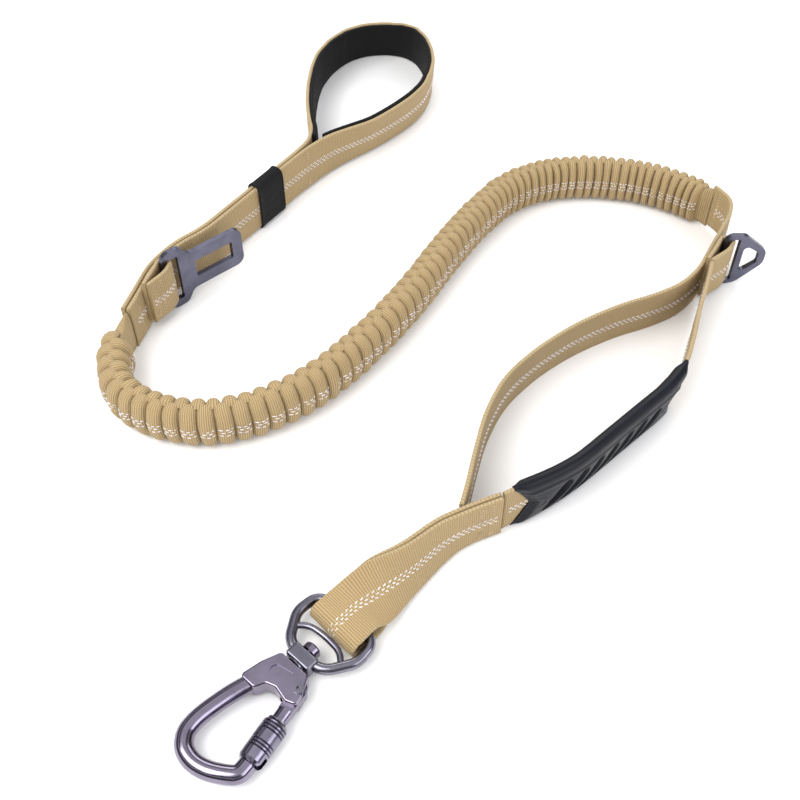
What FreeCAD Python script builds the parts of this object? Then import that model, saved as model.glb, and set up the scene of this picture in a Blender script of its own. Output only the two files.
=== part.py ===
# Elastic dog leash with a padded wrist loop, a seat-belt tongue, a gathered
# bungee section, a traffic handle with a rubber grip and a swivel carabiner.
# Millimetres, +Z up.  The leash lies on a table: straps stand on edge, the
# strap at the clip end turns flat.
import FreeCAD, Part
import math
import os
import Sketcher
from FreeCAD import Vector, Placement, Rotation

doc = FreeCAD.newDocument("bungee_leash")

# ---------------------------------------------------------------- sizes
sheet = doc.addObject("Spreadsheet::Sheet", "Sizes")
SIZES = [
    ("datum_x", 20.7, "offset of the origin from the layout's datum"),
    ("datum_y", 49.95, "offset of the origin from the layout's datum"),
    ("webbing_width", 25.0, "polyester webbing"),
    ("webbing_thick", 2.0, "polyester webbing"),
    ("handle_lift", 1.1, "height of the handle strap over the table"),
    ("main_lift", 0.2, "height of the main strap over the table"),
    ("grip_lift", 1.1, "height of the strap inside the rubber grip"),
    ("lining_thick", 2.2, "neoprene lining"),
    ("keeper_length", 16.0, "elastic keeper along the strap"),
    ("keeper_wall", 0.8, "elastic keeper"),
    ("keeper_half", 2.65, "half of the keeper's inner width"),
    ("keeper_inner", 25.6, "keeper's inner height"),
    ("bungee_thick", 16.0, "gathered cover, outside"),
    ("bungee_tall", 22.0, "gathered cover, outside"),
    ("bungee_corner", 6.0, "gathered cover, outside"),
    ("bungee_wall", 2.0, "gathered cover"),
    ("core_radius", 2.6, "latex core"),
    ("core_low", 6.6, "height of the lower core"),
    ("core_high", 15.4, "height of the upper core"),
    ("tongue_thick", 2.5, "stamped steel plate"),
    ("tongue_blade", 22.0, "blade across"),
    ("tongue_plate", 35.0, "strap end across"),
    ("tongue_reach", 43.0, "bar centre to tip"),
    ("bar_radius", 1.4, "rounded strap bars of the tongue and the D ring"),
    ("slot_tall", 26.2, "strap slot of the tongue and the D ring"),
    ("dring_tall", 31.6, "D ring across"),
    ("dring_tab_lift", 3.05, "D ring strap, lower edge"),
    ("dring_reach", 21.5, "bar centre to tip"),
    ("grip_thick", 7.0, "rubber grip"),
    ("grip_tall", 27.2, "rubber grip"),
    ("grip_slot", 2.7, "strap channel of the grip"),
    ("grip_slot_tall", 25.4, "strap channel of the grip"),
    ("metal_axis", 5.6, "height of the swivel axis"),
    ("ring_radius", 2.2, "swivel ring, half its thickness"),
    ("crossbar_radius", 1.3, "swivel ring's crossbar"),
    ("fold_radius", 3.9, "strap fold round the ring's bar, middle of the strap"),
    ("stud_radius", 2.0, "swivel stud"),
    ("stud_head", 3.6, "swivel stud's head"),
    ("hook_radius", 3.6, "carabiner body, half its thickness"),
    ("head_half", 4.0, "carabiner head, half its thickness"),
    ("gate_radius", 3.1, "gate rod"),
    ("gate_tongue", 2.0, "gate's flat end, half its thickness"),
    ("pin_radius", 1.2, "gate pin"),
    ("sleeve_radius", 5.0, "lock sleeve, outside"),
    ("sleeve_start", 14.0, "lock sleeve, from the gate pin"),
    ("sleeve_end", 30.9, "lock sleeve, from the gate pin"),
    ("nose_radius", 1.5, "nose tenon"),
]
for i, (alias, value, note) in enumerate(SIZES, 1):
    sheet.set("A%d" % i, note)
    sheet.set("B%d" % i, str(value))
    sheet.setAlias("B%d" % i, alias)
doc.recompute()


def size(alias):
    return float(sheet.get(alias))


OX, OY = size("datum_x"), size("datum_y")
W = size("webbing_width")
T = size("webbing_thick")


def at(p):
    """A layout point in the part's frame."""
    return (p[0] - OX, p[1] - OY)


# ------------------------------------------------------- planar routes
def rounded(points, closed=False, share=0.45, radius=None):
    """Straight runs joined by tangent arcs.  Each arc's radius is 0.45 of
    the shorter run over the tangent of half the turn."""
    n = len(points)
    P = [Vector(p[0], p[1], 0) for p in points]
    corners = {}
    idx = range(n) if closed else range(1, n - 1)
    for i in idx:
        a, b, c = P[i - 1], P[i], P[(i + 1) % n]
        d1, d2 = b - a, c - b
        l1, l2 = d1.Length, d2.Length
        d1, d2 = d1 / l1, d2 / l2
        turn = math.atan2(d1.x * d2.y - d1.y * d2.x, d1.x * d2.x + d1.y * d2.y)
        r = share * min(l1, l2) / math.tan(abs(turn) / 2.0)
        if radius:
            r = min(r, radius)
        cut = r * math.tan(abs(turn) / 2.0)
        sgn = 1.0 if turn > 0 else -1.0
        start, end = b - d1 * cut, b + d2 * cut
        centre = start + Vector(-d1.y, d1.x, 0) * (sgn * r)
        corners[i] = (start, end, centre, r, sgn)
    segs = []
    order = list(range(n)) + ([0] if closed else [])
    for k in range(len(order) - 1):
        i, j = order[k], order[k + 1]
        p = corners[i][1] if i in corners else P[i]
        q = corners[j][0] if j in corners else P[j]
        segs.append(("run", p, q))
        if j in corners:
            segs.append(("arc",) + corners[j])
    return segs


def seg_length(seg):
    if seg[0] == "run":
        return (seg[2] - seg[1]).Length
    start, end, centre, r, sgn = seg[1:]
    a, b = start - centre, end - centre
    cosv = max(-1.0, min(1.0, (a.x * b.x + a.y * b.y) / (r * r)))
    return r * math.acos(cosv)


def route_length(segs):
    return sum(seg_length(q) for q in segs)


def trim(segs, s0, s1):
    """The stretch of a route between two distances along it."""
    out, s = [], 0.0
    for seg in segs:
        ln = seg_length(seg)
        a, b = max(s0 - s, 0.0), min(s1 - s, ln)
        s += ln
        if b - a < 1e-6:
            continue
        if seg[0] == "run":
            d = (seg[2] - seg[1]) / ln
            out.append(("run", seg[1] + d * a, seg[1] + d * b))
        else:
            start, end, centre, r, sgn = seg[1:]

            def rot(angle):
                v = start - centre
                ca, sa = math.cos(angle), math.sin(angle)
                return centre + Vector(v.x * ca - v.y * sa, v.x * sa + v.y * ca, 0)
            out.append(("arc", rot(sgn * a / r), rot(sgn * b / r), centre, r, sgn))
    return out


def offset(segs, side):
    """The same route, moved to its left by side."""
    out = []
    for seg in segs:
        if seg[0] == "run":
            d = seg[2] - seg[1]
            d = d / d.Length
            n = Vector(-d.y, d.x, 0) * side
            out.append(("run", seg[1] + n, seg[2] + n))
        else:
            start, end, centre, r, sgn = seg[1:]
            r2 = r - sgn * side
            out.append(("arc", centre + (start - centre) * (r2 / r),
                        centre + (end - centre) * (r2 / r), centre, r2, sgn))
    return out


def geometry(seg):
    if seg[0] == "run":
        return Part.LineSegment(seg[1], seg[2])
    start, end, centre, r, sgn = seg[1:]
    a0 = math.atan2(start.y - centre.y, start.x - centre.x)
    a1 = math.atan2(end.y - centre.y, end.x - centre.x)
    if sgn < 0:
        a0, a1 = a1, a0
    while a1 <= a0:
        a1 += 2 * math.pi
    return Part.ArcOfCircle(Part.Circle(centre, Vector(0, 0, 1), r), a0, a1)


def band_outline(segs, left, right):
    """A closed outline between two offsets of a route."""
    a, b = offset(segs, left), offset(segs, right)
    geo = [geometry(q) for q in a]
    geo.append(Part.LineSegment(a[-1][2], b[-1][2]))
    geo += [geometry(q) for q in b]
    geo.append(Part.LineSegment(b[0][1], a[0][1]))
    return geo


def route_wire(segs, z):
    wire = Part.Wire([geometry(q).toShape() for q in segs])
    wire.translate(Vector(0, 0, z))
    return wire


def plane_of(body, role):
    for f in body.Origin.OriginFeatures:
        if f.Role == role:
            return f
    raise RuntimeError("no plane " + role)


def new_sketch(body, name, role, geo, lift=0.0, lift_alias=None):
    sk = body.newObject("Sketcher::SketchObject", name)
    sk.AttachmentSupport = [(plane_of(body, role), "")]
    sk.MapMode = "FlatFace"
    sk.AttachmentOffset = Placement(Vector(0, 0, lift), Rotation())
    if lift_alias:
        sk.setExpression("AttachmentOffset.Base.z", "Sizes." + lift_alias)
    sk.addGeometry(geo, False)
    return sk


def new_pad(body, name, sk, alias, sym=False):
    pad = body.newObject("PartDesign::Pad", name)
    pad.Profile = sk
    pad.setExpression("Length", alias)
    if sym:
        if hasattr(pad, "SideType"):
            pad.SideType = "Symmetric"
        else:
            pad.Midplane = True
    sk.Visibility = False
    return pad


def new_body(label):
    body = doc.addObject("PartDesign::Body", label)
    body.Label = label
    return body


NODES = []


def strap(label, segs, left, right, lift_alias, height_alias="Sizes.webbing_width"):
    """A strap standing on edge: its plan outline, padded by its width."""
    body = new_body(label)
    sk = new_sketch(body, label + "_plan", "XY_Plane", band_outline(segs, left, right),
                    size(lift_alias), lift_alias)
    pad = new_pad(body, label + "_pad", sk, height_alias)
    body.Tip = pad
    NODES.append(body)
    return body


def plain(label, shape, placement=None):
    f = doc.addObject("Part::Feature", label)
    f.Label = label
    f.Shape = shape
    if placement is not None:
        f.Placement = placement
    NODES.append(f)
    return f


def tube_along(segs, z, profile_maker):
    """A section carried along a flat route, kept upright."""
    wire = route_wire(segs, z)
    start = segs[0][1]
    if segs[0][0] == "run":
        d = segs[0][2] - segs[0][1]
    else:
        d = Vector(0, 0, 1).cross(segs[0][1] - segs[0][3]) * segs[0][5]
    d = d / d.Length
    prof = profile_maker(Vector(start.x, start.y, z), d)
    mk = Part.BRepOffsetAPI.MakePipeShell(wire)
    mk.setBiNormalMode(Vector(0, 0, 1))
    mk.add(prof)
    mk.build()
    mk.makeSolid()
    return mk.shape()


def rounded_section(half_w, half_h, r):
    def make(origin, d):
        side = Vector(-d.y, d.x, 0)
        up = Vector(0, 0, 1)

        def pt(a, b):
            return origin + side * a + up * b
        e = []
        k = r * (1 - math.sqrt(0.5))
        for sx, sy in ((1, 1), (-1, 1), (-1, -1), (1, -1)):
            if (sx, sy) in ((1, 1), (-1, -1)):
                p = pt(sx * half_w, sy * (half_h - r))
                q = pt(sx * (half_w - r), sy * half_h)
            else:
                p = pt(sx * (half_w - r), sy * half_h)
                q = pt(sx * half_w, sy * (half_h - r))
            m = pt(sx * (half_w - k), sy * (half_h - k))
            e.append((p, m, q))
        edges = []
        for i in range(4):
            p, m, q = e[i]
            edges.append(Part.Arc(p, m, q).toShape())
            nxt = e[(i + 1) % 4][0]
            edges.append(Part.LineSegment(q, nxt).toShape())
        return Part.Wire(edges)
    return make


def round_section(r):
    def make(origin, d):
        return Part.Wire([Part.Circle(origin, d, r).toShape()])
    return make


# ------------------------------------------------------------- handle
# The handle strap leaves the seam, runs doubled to the neck, opens into the
# wrist loop and comes back beside itself.
UP = (0.5795, 0.8150)
LOOP = [(-48.5, 157.5), (-47.3, 169), (-49.3, 182), (-51.0, 197), (-51.6, 213),
        (-50.8, 229), (-48.6, 243), (-43, 257.5), (-33.5, 270), (-21.5, 277.3),
        (-8, 279), (3, 276.3), (11, 269.3), (16, 258), (18, 246), (17.8, 235),
        (15.5, 224), (11.5, 213), (4.8, 203), (-4.2, 193), (-15, 183),
        (-27, 173.5), (-38, 163.8)]
SEAM = [(-125.4, 32.6), (-121.6, 46.2), (-117.8, 62.0), (-108.0, 77.0), (-95.8, 87.5)]
NECK = (-53, 147.5)


def side_of(p, d, s):
    return (p[0] - d[1] * s, p[1] + d[0] * s)


def unit(a, b):
    dx, dy = b[0] - a[0], b[1] - a[1]
    ln = math.hypot(dx, dy)
    return (dx / ln, dy / ln)


def shifted(points, s):
    out = []
    for i, p in enumerate(points):
        a = points[max(i - 1, 0)]
        b = points[min(i + 1, len(points) - 1)]
        out.append(side_of(p, unit(a, b), s))
    return out


LEG = SEAM + [NECK]
half_gap = T / 2 + 0.25
leg_far = shifted(LEG, half_gap)
leg_near = shifted(LEG, -half_gap)
handle_points = leg_far + LOOP + leg_near[::-1]
handle_route = rounded([at(p) for p in handle_points])
strap("wrist_webbing", handle_route, T / 2, -T / 2, "handle_lift")

# The lining covers the inside of the loop.
s_in = route_length(rounded([at(p) for p in leg_far + LOOP[:2]])) + 6.0
s_out = route_length(handle_route) - route_length(rounded([at(p) for p in (leg_near + [LOOP[-1]])])) - 12.0
lining_route = trim(handle_route, s_in, s_out)
strap("wrist_lining", lining_route, -T / 2, -T / 2 - size("lining_thick"), "handle_lift")

# Elastic keeper: a short tube round both strands.
keeper = new_body("keeper_sleeve")
kc = at((-68.7, 125.6))


def rect(x0, y0, x1, y1):
    a, b, c, d = Vector(x0, y0, 0), Vector(x1, y0, 0), Vector(x1, y1, 0), Vector(x0, y1, 0)
    return [Part.LineSegment(a, b), Part.LineSegment(b, c), Part.LineSegment(c, d), Part.LineSegment(d, a)]


kh, kw, ki = size("keeper_half"), size("keeper_wall"), size("keeper_inner")
sk = new_sketch(keeper, "keeper_section", "YZ_Plane",
                rect(-kh - kw, 0, kh + kw, ki + 2 * kw) + rect(-kh, kw, kh, kw + ki))
pad = new_pad(keeper, "keeper_pad", sk, "Sizes.keeper_length", sym=True)
keeper.Tip = pad
keeper.Placement = Placement(Vector(kc[0], kc[1], 0), Rotation(Vector(0, 0, 1), math.degrees(math.atan2(UP[1], UP[0]))))
NODES.append(keeper)


# ---------------------------------------------------- seat-belt tongue
def lens(points, radius):
    return [geometry(q) for q in rounded(points, closed=True, radius=radius)]


def flat_hardware(label, thick_alias, outline, cuts, bar_cut=None):
    """A stamped plate in the XZ plane, its strap bar on the Z axis."""
    body = new_body(label)
    sk = new_sketch(body, label + "_outline", "XZ_Plane", outline)
    pad = new_pad(body, label + "_pad", sk, "Sizes." + thick_alias, sym=True)
    doc.recompute()
    sk2 = new_sketch(body, label + "_holes", "XZ_Plane", cuts)
    pocket = body.newObject("PartDesign::Pocket", label + "_pocket")
    pocket.Profile = sk2
    pocket.Type = "ThroughAll"
    if hasattr(pocket, "SideType"):
        pocket.SideType = "Symmetric"
    else:
        pocket.Midplane = True
    sk2.Visibility = False
    body.Tip = pocket
    return body


tb, tp, tr = size("tongue_blade") / 2, size("tongue_plate") / 2, size("tongue_reach")
st = size("slot_tall") / 2
tongue_outline = lens([(-1.2, -13.6), (1.2, -tp), (9.3, -tp), (13.2, -tb), (tr, -tb), (tr, tb),
                       (13.2, tb), (9.3, tp), (1.2, tp), (-1.2, 13.6)], 4.5)
tongue_cuts = lens([(1.2, -st), (7.4, -st), (7.4, st), (1.2, st)], 0.6) + \
    lens([(16.2, -4.9), (37.2, -4.9), (37.2, 4.9), (16.2, 4.9)], 0.8)
tongue = flat_hardware("seatbelt_tongue", "tongue_thick", tongue_outline, tongue_cuts)
TONGUE_BAR = at((-111.2, 58.4))
TONGUE_ANGLE = 40.0
tongue_z = 17.6
tongue.Placement = Placement(Vector(TONGUE_BAR[0], TONGUE_BAR[1], tongue_z), Rotation(Vector(0, 0, 1), TONGUE_ANGLE))
NODES.append(tongue)


# --------------------------------------------- strap tab of the tongue
def fold_points(bar, t, half, reach, tail_l, tail_r):
    """A strap fold round a bar: tail, straight sides, two corners, tail."""
    n = (-t[1], t[0])
    a = (bar[0] + n[0] * half + t[0] * reach, bar[1] + n[1] * half + t[1] * reach)
    b = (bar[0] - n[0] * half + t[0] * reach, bar[1] - n[1] * half + t[1] * reach)
    c = (bar[0] + n[0] * half - t[0] * 4.5, bar[1] + n[1] * half - t[1] * 4.5)
    d = (bar[0] - n[0] * half - t[0] * 4.5, bar[1] - n[1] * half - t[1] * 4.5)
    return [tail_l, c, a, b, d, tail_r]


tb_pt = (-111.2, 58.4)
t_dir = (0.2338, 0.9723)
tab_points = fold_points(tb_pt, t_dir, 3.1, 3.3, (-118.45, 44.7), (-116.41, 44.21))
tab_route = rounded([at(p) for p in tab_points])
body = strap("tongue_tab", tab_route, T / 2, -T / 2, "handle_lift")
sheet.set("C1", "tab lift")
body.Group[0].AttachmentOffset = Placement(Vector(0, 0, tongue_z - W / 2), Rotation())
body.Group[0].setExpression("AttachmentOffset.Base.z", None)

# ------------------------------------------------------------- bungee
BUNGEE = [(-125.5, 31), (-130, 12), (-124, -8), (-106, -20), (-84, -24), (-62, -18),
          (-41, -5), (-22, 15), (-7, 35), (8, 58), (22, 84), (37, 108), (55, 131),
          (78, 142.5), (104, 144.5), (129, 139.5), (147, 130), (160, 119)]
bungee_route = rounded([at(p) for p in BUNGEE])
bw, bh = size("bungee_thick") / 2, size("bungee_tall") / 2
bc, wall = size("bungee_corner"), size("bungee_wall")
outer = tube_along(bungee_route, bh, rounded_section(bw, bh, bc))
inner = tube_along(bungee_route, bh, rounded_section(bw - wall, bh - wall, bc - wall))
cover = outer.cut(inner)
plain("bungee_cover", cover)
core_a = tube_along(bungee_route, size("core_low"), round_section(size("core_radius")))
core_b = tube_along(bungee_route, size("core_high"), round_section(size("core_radius")))
plain("elastic_core_lower", core_a)
plain("elastic_core_upper", core_b)
print("bungee length", round(route_length(bungee_route), 1),
      "radii", [round(q[4], 1) for q in bungee_route if q[0] == "arc"])
sec = math.pi * bc ** 2 + 4 * (bw * bh) - 4 * bc ** 2
sec_in = math.pi * (bc - wall) ** 2 + 4 * (bw - wall) * (bh - wall) - 4 * (bc - wall) ** 2
print("cover volume", round(cover.Volume), "section x length", round((sec - sec_in) * route_length(bungee_route)))
print("core volume", round(core_a.Volume), "section x length",
      round(math.pi * size("core_radius") ** 2 * route_length(bungee_route)))

# -------------------------------------------------- main strap, D ring
MAIN = [(161.2, 117.6), (166.4, 110.0), (163.6, 99.5), (156.2, 86.5), (149.3, 74.5), (142.3, 62.3),
        (132.6, 53), (118, 45.5), (101.5, 39), (82, 28.5), (63, 13.5), (46, -5), (36.3, -27),
        (31, -48), (27.3, -64), (24.4, -74.6)]
main_route = rounded([at(p) for p in MAIN])
strap("main_webbing", main_route, T / 2, -T / 2, "main_lift")

DBAR = (156.8, 76.2)
d_dir = unit((142.3, 62.3), (156.2, 86.5))
fold = fold_points(DBAR, d_dir, 3.1, 3.3, (146.34, 64.94), (148.16, 63.9))
tab = rounded([at(p) for p in fold])
body = strap("dring_tab", tab, T / 2, -T / 2, "dring_tab_lift")
GRIP = [(147.4, 62.2), (142.5, 47.5), (137, 34), (131.5, 19), (124.5, 3), (115, -9.5), (102.5, -21),
               (88.5, -34), (73.5, -48), (58, -60), (41.4, -70.0)]
grip_route = rounded([at(p) for p in GRIP])
strap("grip_webbing", grip_route, T / 2, -T / 2, "grip_lift")

dt, dr = size("dring_tall") / 2, size("dring_reach")
d_outline = lens([(-1.2, -dt + 3.0), (1.6, -dt), (9.5, -dt + 1.0), (dr, -4.0), (dr, 4.0), (9.5, dt - 1.0),
                  (1.6, dt), (-1.2, dt - 3.0)], 6.0)
d_cuts = lens([(1.2, -st), (6.6, -st), (6.6, st), (1.2, st)], 0.6) + \
    lens([(9.4, -9.2), (17.9, -3.0), (17.9, 3.0), (9.4, 9.2)], 2.0)
dring = flat_hardware("d_ring", "tongue_thick", d_outline, d_cuts)
db = at(DBAR)
dring_z = dt + 0.05
dring.Placement = Placement(Vector(db[0], db[1], dring_z), Rotation(Vector(0, 0, 1), 8.0))
NODES.append(dring)

# Rubber grip: a thick band round the strap with a channel through it.
total = route_length(grip_route)
g1 = total - 2.2
s_right = route_length(rounded([at(p) for p in GRIP[:6]]))
grip_part = trim(grip_route, s_right - 6.5, total - 5.0)
grip = new_body("rubber_grip")
gs = new_sketch(grip, "grip_plan", "XY_Plane", band_outline(grip_part, size("grip_thick") / 2, -size("grip_thick") / 2))
gp = new_pad(grip, "grip_pad", gs, "Sizes.grip_tall")
doc.recompute()
try:
    longs = []
    for i, e in enumerate(gp.Shape.Edges, 1):
        zs = [v.Point.z for v in e.Vertexes]
        if len(zs) == 2 and abs(zs[0] - zs[1]) < 1e-6 and e.Length > 8.0:
            longs.append("Edge%d" % i)
    fl = grip.newObject("PartDesign::Fillet", "grip_round")
    fl.Base = (gp, longs)
    fl.Radius = 2.0
    doc.recompute()
    if "Invalid" in fl.State or "Error" in fl.State or fl.Shape.isNull():
        raise RuntimeError("fillet")
except Exception:
    grip.removeObject(fl)
    doc.removeObject(fl.Name)
    grip.Tip = gp
long_part = trim(grip_route, s_right - 14.0, total)
cs = new_sketch(grip, "grip_channel", "XY_Plane",
                band_outline(long_part, size("grip_slot") / 2, -size("grip_slot") / 2), 0.9)
ck = grip.newObject("PartDesign::Pocket", "grip_channel_cut")
ck.Profile = cs
ck.setExpression("Length", "Sizes.grip_slot_tall")
ck.Reversed = True
cs.Visibility = False
grip.Tip = ck
NODES.append(grip)

# ------------------------------------------ hardware frame at the clip
SW = at((-36.5, -131.6))
ax = (-0.680, -0.7332)
ln = math.hypot(*ax)
ax = (ax[0] / ln, ax[1] / ln)
AZ = math.degrees(math.atan2(ax[1], ax[0]))
ZC = size("metal_axis")
CLIP = Placement(Vector(SW[0], SW[1], ZC), Rotation(Vector(0, 0, 1), AZ))


def from_clip(x, y=0.0):
    v = CLIP.multVec(Vector(x, y, 0))
    return v


# --------------------------------------------------- folded clip strap
# Two layers of webbing stand on edge where they leave the traffic handle,
# turn flat, and fold round the ring's far bar.
# stations: middle of the strap (layout), lean from flat in degrees,
# half the distance between the layers, height of the middle
FX = -19.0
mid = [
    ((40.6, -70.6), 90, 1.15, 13.0),
    ((36.4, -72.4), 90, 1.15, 13.0),
    ((31.2, -74.6), 90, 1.15, 12.9),
    ((26.3, -77.1), 89, 1.15, 12.9),
    ((21.9, -79.7), 87, 1.15, 12.9),
    ((17.8, -82.6), 83, 1.15, 12.8),
    ((13.8, -86.0), 80, 1.15, 12.8),
    ((9.7, -90.0), 77, 1.15, 12.7),
    ((5.7, -94.0), 73, 1.15, 12.6),
    ((1.6, -97.6), 67, 1.15, 12.4),
    ((-2.5, -100.8), 57, 1.3, 11.9),
    ((-6.6, -103.6), 42, 1.6, 10.6),
    ((-10.6, -106.4), 25, 2.2, 8.6),
    ((-14.3, -109.3), 9, 3.0, 6.6),
    ((-17.5, -112.3), 0, 3.75, 5.7),
]
stations = []
for (p, lean, half, z) in mid:
    q = at(p)
    th = math.radians(lean)
    if z is None:
        z = (W / 2) * math.sin(th) + 2.35 * math.cos(th) + 0.35
    stations.append([q[0], q[1], z, lean, half])
fc = from_clip(FX, 0.8)
stations.append([fc.x, fc.y, ZC, 0.0, size("fold_radius")])


def spline(rows, steps):
    """Smooth rows through the stations (Catmull-Rom)."""
    out = []
    n = len(rows)
    for i in range(n - 1):
        p0, p1, p2, p3 = rows[max(i - 1, 0)], rows[i], rows[i + 1], rows[min(i + 2, n - 1)]
        for k in range(steps):
            t = k / float(steps)
            out.append([0.5 * (2 * b + (c - a) * t + (2 * a - 5 * b + 4 * c - d) * t * t
                               + (3 * b - a - 3 * c + d) * t ** 3)
                        for a, b, c, d in zip(p0, p1, p2, p3)])
    out.append(list(rows[-1]))
    return out


rows = spline(stations, 2)
frames = []
for i, r in enumerate(rows):
    a, b = rows[max(i - 1, 0)], rows[min(i + 1, len(rows) - 1)]
    tx, ty = b[0] - a[0], b[1] - a[1]
    l2 = math.hypot(tx, ty)
    tx, ty = tx / l2, ty / l2
    if i == len(rows) - 1:
        tx, ty = ax
    far = Vector(ty, -tx, 0)
    th = math.radians(r[3])
    w = far * math.cos(th) + Vector(0, 0, math.sin(th))
    nrm = far * (-math.sin(th)) + Vector(0, 0, math.cos(th))
    reach = (W / 2) * abs(w.z) + (r[4] + T / 2) * abs(nrm.z)
    frames.append((Vector(r[0], r[1], max(r[2], reach + 0.1)), w, nrm, r[4]))

sections = []
for c, w, nrm, half in frames:
    sections.append((c + nrm * half, w, nrm))
fold_c, fold_w, _, fr = frames[-1]
axis = Vector(ax[0], ax[1], 0)
for k in range(1, 8):
    ph = math.radians(90 - k * 22.5)
    nn = axis * math.cos(ph) + Vector(0, 0, math.sin(ph))
    sections.append((fold_c + nn * fr, fold_w, nn))
for c, w, nrm, half in frames[::-1]:
    sections.append((c - nrm * half, w, nrm * -1.0))
sections = sections[:-7]


def ribbon(secs, width, thick):
    """A closed strap solid through a list of sections."""
    rings = []
    for c, w, nn in secs:
        a, b = w * (width / 2), nn * (thick / 2)
        rings.append([c + a + b, c - a + b, c - a - b, c + a - b])
    faces = []

    def tri(a, b, c):
        faces.append(Part.Face(Part.makePolygon([a, b, c, a])))
    for r1, r2 in zip(rings[:-1], rings[1:]):
        for k in range(4):
            a, b, c, d = r1[k], r1[(k + 1) % 4], r2[(k + 1) % 4], r2[k]
            tri(a, b, c)
            tri(a, c, d)
    for r in (rings[0], rings[-1]):
        tri(r[0], r[1], r[2])
        tri(r[0], r[2], r[3])
    shell = Part.Shell(faces)
    solid = Part.Solid(shell)
    if solid.Volume < 0:
        solid.reverse()
    return solid


clip_solid = ribbon(sections, W - 1.4, T)
plain("clip_webbing", clip_solid)


# -------------------------------------------------------- swivel ring
def local_tube(points, r, closed=False, share=0.45, radius=None, z=0.0):
    segs = rounded(points, closed=closed, share=share, radius=radius)
    return tube_along(segs, z, round_section(r)), segs


ring_pts = [(-23.7, 0.0), (-23.7, 15.0), (-12.5, 16.2), (-2.2, 9.6), (0.4, 0.0),
            (-2.2, -9.6), (-12.5, -16.2), (-23.7, -15.0)]
half_a = rounded([(-23.7, 0.0), (-23.7, 15.0), (-12.5, 16.2), (-2.2, 9.6), (0.4, 0.0)], radius=9.0)
half_b = rounded([(-23.7, 0.0), (-23.7, -15.0), (-12.5, -16.2), (-2.2, -9.6), (0.4, 0.0)], radius=9.0)
rr = size("ring_radius")
ring = tube_along(half_a, 0, round_section(rr)).fuse(tube_along(half_b, 0, round_section(rr)))
cross_l = rounded([(-7.5, 12.8), (-11.6, 8.0), (-12.4, 0.0), (-11.6, -8.0), (-7.5, -12.8)])
ring = ring.fuse(tube_along(cross_l, 0, round_section(size("crossbar_radius"))))
block = Part.makeBox(6.4, 12.0, 6.8, Vector(-3.0, -6.0, -3.4))
block = block.makeFillet(1.2, block.Edges)
ring = ring.fuse(block)
sr = size("stud_radius")
bore = Part.makeCylinder(sr + 0.05, 12.0, Vector(-6.0, 0, 0), Vector(1, 0, 0))
ring = ring.cut(bore).removeSplitter()
ring_node = plain("swivel_ring", ring, CLIP)

# --------------------------------------------------------- swivel stud
stud = Part.makeCylinder(size("stud_head"), 3.0, Vector(-6.3, 0, 0), Vector(1, 0, 0))
stud = stud.makeChamfer(0.7, [e for e in stud.Edges if abs(e.CenterOfMass.x + 6.3) < 0.01 and e.Length > 5])
stud = stud.fuse(Part.makeCylinder(sr, 14.3, Vector(-3.4, 0, 0), Vector(1, 0, 0))).removeSplitter()
plain("swivel_stud", stud, CLIP)
washer = Part.makeCylinder(4.2, 0.6, Vector(3.55, 0, 0), Vector(1, 0, 0)).cut(
    Part.makeCylinder(sr + 0.1, 1.0, Vector(3.3, 0, 0), Vector(1, 0, 0)))
plain("swivel_washer", washer, CLIP)

# ------------------------------------------------------ carabiner body
GA = math.radians(11.1)
gd = Vector(math.cos(GA), math.sin(GA), 0)
gn = Vector(-math.sin(GA), math.cos(GA), 0)
HINGE = Vector(10.5, 9.0, 0)


def on_gate(s, off=0.0, z=0.0):
    return HINGE + gd * s + gn * off + Vector(0, 0, z)


nose = on_gate(31.6)
nose2 = on_gate(35.5)
hook_pts = [(9.5, -4.2), (19, -7.0), (27.5, -9.3), (35, -10.5), (42, -11.2), (48.6, -10.4), (53.3, -5.8),
            (54.3, 0.6), (52.6, 6.6), (49.3, 12.0), (nose2.x + 1.0, nose2.y - 0.2), (nose.x, nose.y)]
hook = tube_along(rounded(hook_pts), 0, round_section(size("hook_radius")))
hh = size("head_half")
head_pts = [(4.4, -6.4), (4.4, 7.8), (11.4, 11.9), (15.6, 13.0), (17.3, 8.6), (15.9, 2.2), (17.2, -1.6),
            (21.5, -3.6), (21.5, -11.2), (12.0, -9.4)]
head_segs = rounded(head_pts, closed=True, radius=1.8)
head_face = Part.Face(Part.Wire([geometry(q).toShape() for q in head_segs]))
head = head_face.extrude(Vector(0, 0, 2 * hh))
head.translate(Vector(0, 0, -hh))
try:
    edges = [e for e in head.Edges if abs(abs(e.CenterOfMass.z) - hh) < 1e-6]
    head = head.makeFillet(0.8, edges)
except Exception:
    pass
body_shape = hook.fuse(head)
# slot for the gate's flat end
gt = size("gate_tongue")
slot = Part.makeBox(16.0, 13.2, 2 * (gt + 0.2), Vector(6.6, 5.2, -gt - 0.2))
body_shape = body_shape.cut(slot)
# stud bore, pin hole, spring pocket, oval recess on both faces
body_shape = body_shape.cut(Part.makeCylinder(sr + 0.05, 7.2, Vector(4.0, 0, 0), Vector(1, 0, 0)))
pr = size("pin_radius")
body_shape = body_shape.cut(Part.makeCylinder(pr + 0.03, 12, HINGE + Vector(0, 0, -6), Vector(0, 0, 1)))
SPX = 13.4
body_shape = body_shape.cut(Part.makeCylinder(1.75, 4.6, Vector(SPX, 0.8, 0), Vector(0, 1, 0)))


def oval(x, y, half_l, r, z0, depth, angle):
    a = Part.makeCylinder(r, depth, Vector(0, -half_l, 0))
    b = Part.makeCylinder(r, depth, Vector(0, half_l, 0))
    c = Part.makeBox(2 * r, 2 * half_l, depth, Vector(-r, -half_l, 0))
    s = a.fuse(b).fuse(c).removeSplitter()
    s.Placement = Placement(Vector(x, y, z0), Rotation(Vector(0, 0, 1), angle))
    return s


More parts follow.
